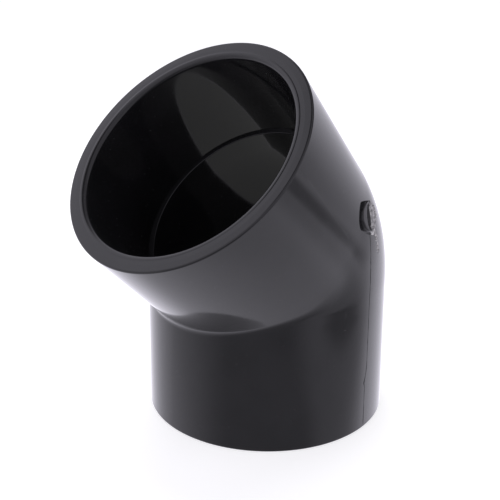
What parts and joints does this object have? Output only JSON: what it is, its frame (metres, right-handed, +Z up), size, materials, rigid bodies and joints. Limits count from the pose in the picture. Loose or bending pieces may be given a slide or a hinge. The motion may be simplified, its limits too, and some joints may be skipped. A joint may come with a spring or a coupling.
{
  "type": "45 degree pvc socket elbow",
  "caption": "Short 45 degree PVC elbow with two plain solvent-weld sockets, each ending at an inner pipe stop.",
  "frame": {"origin": "centre of the lower socket's rim face, on that socket's axis", "axes": "+Z up the lower socket's axis, from its rim to the bend; XZ is the plane of both axes, and the upper socket leans 45 degrees from +Z towards -X; +Y is the back side, away from the gate"},
  "size_m": [0.1712, 0.1293, 0.1937],
  "materials": {
    "dark_grey_pvc": "semi-gloss moulded rigid PVC",
    "torn_pvc": "rough, stress-whitened cut in the same PVC"
  },
  "bodies": {
    "root": {"lower_socket": "dark_grey_pvc", "upper_socket": "dark_grey_pvc", "lower_stop": "dark_grey_pvc", "upper_stop": "dark_grey_pvc", "bend_body": "dark_grey_pvc", "gate_stub": "torn_pvc", "front_flash": "dark_grey_pvc", "back_flash": "dark_grey_pvc"}
  },
  "joints": []
}
